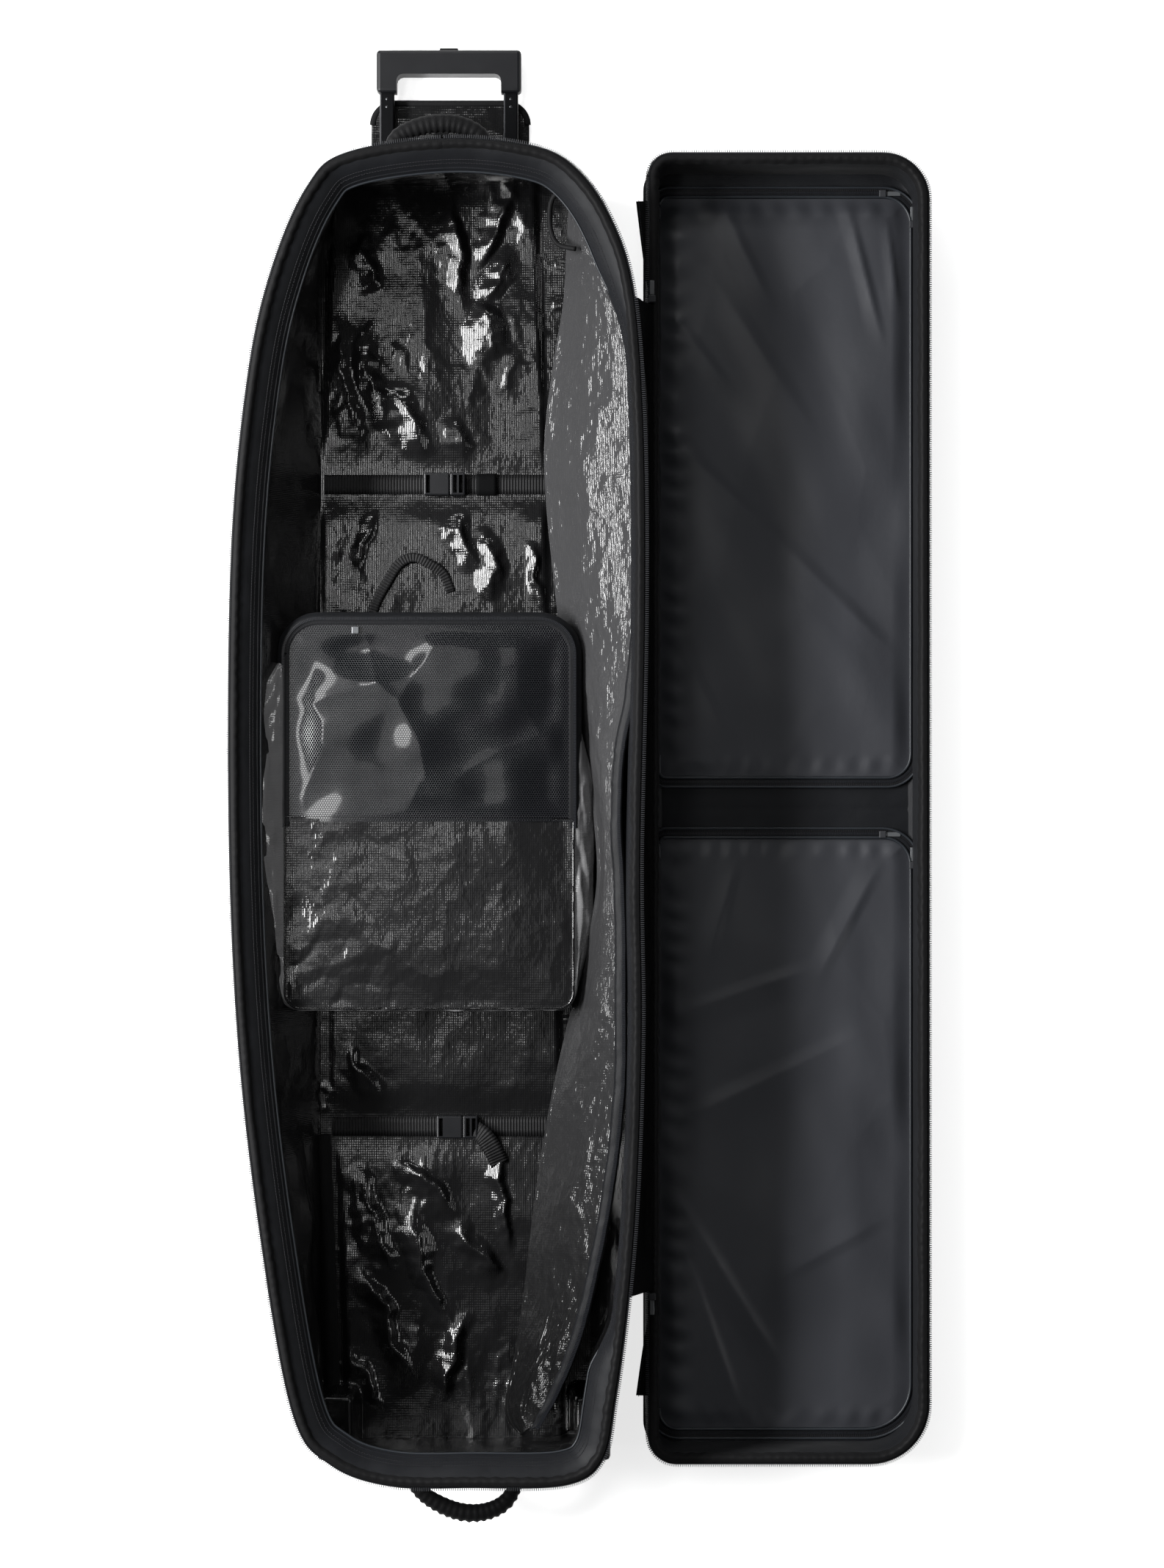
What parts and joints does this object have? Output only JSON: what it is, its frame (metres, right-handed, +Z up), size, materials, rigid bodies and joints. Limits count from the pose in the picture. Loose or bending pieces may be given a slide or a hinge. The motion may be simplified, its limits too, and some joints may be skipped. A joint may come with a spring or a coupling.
{
  "type": "snowboard bag",
  "caption": "Wheeled split-level snowboard bag lying open: deep tarp-lined tub with straps, gear pouch and telescopic handle, and a shallow lid with two zipped pockets.",
  "frame": {"origin": "centre of the footprint of the open bag, trolley handle and grab handles included, on the floor", "axes": "+X from the tub to the lid, +Y along the bag from the wheels to the trolley handle, +Z up"},
  "size_m": [0.8796, 1.879, 0.2164],
  "materials": {
    "shell_fabric": "matte polyester",
    "binding": "matte ribbed tape",
    "liner_tarp": "glossy coated tarpaulin",
    "pocket_nylon": "satin nylon",
    "webbing": "woven",
    "black_plastic": "satin",
    "tube_metal": "black anodised",
    "steel": "plain",
    "zip": "satin",
    "stiffener": "matte polyethylene sheet",
    "tyre": "matte polyurethane",
    "clear_vinyl": "clear over mesh"
  },
  "bodies": {
    "base": {"back_panel": "shell_fabric", "stiffener_sheet": "stiffener", "floor_liner": "liner_tarp", "end_wall_handle_end": "shell_fabric", "end_wall_wheel_end": "shell_fabric", "skid_rail_left": "black_plastic", "skid_rail_right": "black_plastic", "wheel_housing_left": "black_plastic", "wheel_housing_right": "black_plastic", "axle_left": "steel", "axle_right": "steel", "handle_bezel": "black_plastic", "outer_tube_left": "tube_metal", "outer_tube_right": "tube_metal", "handle_cover_flap": "liner_tarp", "upper_strap_left": "webbing", "upper_strap_right": "webbing", "lower_strap_left": "webbing", "lower_strap_right": "webbing", "upper_buckle_socket": "black_plastic", "lower_buckle_socket": "black_plastic"},
    "left_wall": {"side_wall_left": "shell_fabric"},
    "right_wall": {"side_wall_right": "shell_fabric", "divider_flap": "liner_tarp"},
    "lid": {"lid_shell": "shell_fabric", "lid_zip": "zip", "pocket_upper": "pocket_nylon", "pocket_lower": "pocket_nylon", "pocket_band": "shell_fabric", "hinge_gusset": "shell_fabric"},
    "left_wheel": {"tyre_left": "tyre", "hub_left": "black_plastic"},
    "right_wheel": {"tyre_right": "tyre", "hub_right": "black_plastic"},
    "trolley_middle": {"middle_tube_left": "tube_metal", "middle_tube_right": "tube_metal"},
    "trolley_handle": {"top_tube_left": "tube_metal", "top_tube_right": "tube_metal", "trolley_grip": "black_plastic"},
    "trolley_button": {"release_button": "black_plastic", "release_linkage": "steel"},
    "top_grab": {"grab_handle_top": "binding"},
    "bottom_grab": {"grab_handle_bottom": "binding"},
    "upper_plug": {"upper_buckle_plug": "black_plastic"},
    "lower_plug": {"lower_buckle_plug": "black_plastic"},
    "gear_pouch": {"pouch_body": "liner_tarp", "pouch_window": "clear_vinyl"},
    "main_upper_slider": {"main_upper_slider": "zip"},
    "main_upper_pull": {"main_upper_pull": "zip"},
    "main_lower_slider": {"main_lower_slider": "zip"},
    "main_lower_pull": {"main_lower_pull": "zip"},
    "pocket_upper_across_slider": {"pocket_upper_across_slider": "zip"},
    "pocket_upper_across_pull": {"pocket_upper_across_pull": "zip"},
    "pocket_upper_down_slider": {"pocket_upper_down_slider": "zip"},
    "pocket_upper_down_pull": {"pocket_upper_down_pull": "zip"},
    "pocket_lower_across_slider": {"pocket_lower_across_slider": "zip"},
    "pocket_lower_across_pull": {"pocket_lower_across_pull": "zip"},
    "pocket_lower_down_slider": {"pocket_lower_down_slider": "zip"},
    "pocket_lower_down_pull": {"pocket_lower_down_pull": "zip"},
    "pouch_zip_slider": {"pouch_zip_slider": "zip"}
  },
  "joints": [
    {"name": "left_wall_fold", "type": "hinge", "parent": "base", "child": "left_wall", "pos_m": [-0.338, 0, 0.02], "axis": [0, 1, 0], "range_deg": [0, 30]},
    {"name": "right_wall_fold", "type": "hinge", "parent": "base", "child": "right_wall", "pos_m": [0.014, 0, 0.02], "axis": [0, -1, 0], "range_deg": [0, 19.5]},
    {"name": "lid_hinge", "type": "hinge", "parent": "right_wall", "child": "lid", "pos_m": [0.07409, 0, 0.15942], "axis": [0, -1, 0], "range_deg": [0, 160.5], "deforming": ["hinge_gusset"]},
    {"name": "left_wheel_spin", "type": "hinge", "parent": "base", "child": "left_wheel", "pos_m": [-0.316, -0.832, 0.035], "axis": [1, 0, 0], "continuous": true},
    {"name": "right_wheel_spin", "type": "hinge", "parent": "base", "child": "right_wheel", "pos_m": [0.016, -0.832, 0.035], "axis": [1, 0, 0], "continuous": true},
    {"name": "trolley_lower_slide", "type": "slide", "parent": "base", "child": "trolley_middle", "axis": [0, 1, 0], "range_m": [0, 0.33]},
    {"name": "trolley_upper_slide", "type": "slide", "parent": "trolley_middle", "child": "trolley_handle", "axis": [0, 1, 0], "range_m": [-0.06, 0.29]},
    {"name": "trolley_button_press", "type": "slide", "parent": "trolley_handle", "child": "trolley_button", "axis": [0, -1, 0], "range_m": [0, 0.0035], "stiffness_N_per_m": 900, "springref_m": -0.002},
    {"name": "top_grab_lift", "type": "hinge", "parent": "base", "child": "top_grab", "pos_m": [-0.1805, 0.799, 0.098], "axis": [1, 0, 0], "range_deg": [0, 75]},
    {"name": "bottom_grab_lift", "type": "hinge", "parent": "base", "child": "bottom_grab", "pos_m": [-0.149, -0.887, 0.09], "axis": [-1, 0, 0], "range_deg": [0, 75]},
    {"name": "upper_buckle_release", "type": "slide", "parent": "base", "child": "upper_plug", "axis": [1, 0, 0], "range_m": [0, 0.03]},
    {"name": "lower_buckle_release", "type": "slide", "parent": "base", "child": "lower_plug", "axis": [1, 0, 0], "range_m": [0, 0.03]},
    {"name": "gear_pouch_lift", "type": "slide", "parent": "base", "child": "gear_pouch", "axis": [0, 0, 1], "range_m": [0, 0.34]},
    {"name": "main_upper_slide", "type": "slide", "parent": "lid", "child": "main_upper_slider", "axis": [0, -1, 0], "range_m": [-0.12, 0]},
    {"name": "main_upper_pull_lift", "type": "hinge", "parent": "main_upper_slider", "child": "main_upper_pull", "pos_m": [0.088, 0.6098, 0.1159], "axis": [-1, 0, 0], "range_deg": [-100, 0]},
    {"name": "main_lower_slide", "type": "slide", "parent": "lid", "child": "main_lower_slider", "axis": [0, 1, 0], "range_m": [-0.15, 0]},
    {"name": "main_lower_pull_lift", "type": "hinge", "parent": "main_lower_slider", "child": "main_lower_pull", "pos_m": [0.088, -0.6558, 0.1159], "axis": [1, 0, 0], "range_deg": [-100, 0]},
    {"name": "pocket_upper_across_slide", "type": "slide", "parent": "lid", "child": "pocket_upper_across_slider", "axis": [-1, 0, 0], "range_m": [0, 0.26]},
    {"name": "pocket_upper_across_pull_lift", "type": "hinge", "parent": "pocket_upper_across_slider", "child": "pocket_upper_across_pull", "pos_m": [0.3908, 0.7505, 0.04], "axis": [0, -1, 0], "range_deg": [0, 100]},
    {"name": "pocket_upper_down_slide", "type": "slide", "parent": "lid", "child": "pocket_upper_down_slider", "axis": [0, -1, 0], "range_m": [0, 0.64]},
    {"name": "pocket_upper_down_pull_lift", "type": "hinge", "parent": "pocket_upper_down_slider", "child": "pocket_upper_down_pull", "pos_m": [0.4235, 0.7168, 0.04], "axis": [1, 0, 0], "range_deg": [0, 100]},
    {"name": "pocket_lower_across_slide", "type": "slide", "parent": "lid", "child": "pocket_lower_across_slider", "axis": [-1, 0, 0], "range_m": [0, 0.26]},
    {"name": "pocket_lower_across_pull_lift", "type": "hinge", "parent": "pocket_lower_across_slider", "child": "pocket_lower_across_pull", "pos_m": [0.3908, -0.0705, 0.04], "axis": [0, -1, 0], "range_deg": [0, 100]},
    {"name": "pocket_lower_down_slide", "type": "slide", "parent": "lid", "child": "pocket_lower_down_slider", "axis": [0, -1, 0], "range_m": [0, 0.64]},
    {"name": "pocket_lower_down_pull_lift", "type": "hinge", "parent": "pocket_lower_down_slider", "child": "pocket_lower_down_pull", "pos_m": [0.4235, -0.1042, 0.04], "axis": [1, 0, 0], "range_deg": [0, 100]},
    {"name": "pouch_zip_slide", "type": "slide", "parent": "gear_pouch", "child": "pouch_zip_slider", "axis": [1, 0, 0], "range_m": [0, 0.24]}
  ],
  "couplings": [
    {"joint": "right_wall_fold", "follows": "lid_hinge", "ratio": 0.1215},
    {"joint": "left_wall_fold", "follows": "lid_hinge", "ratio": 0.18692}
  ]
}
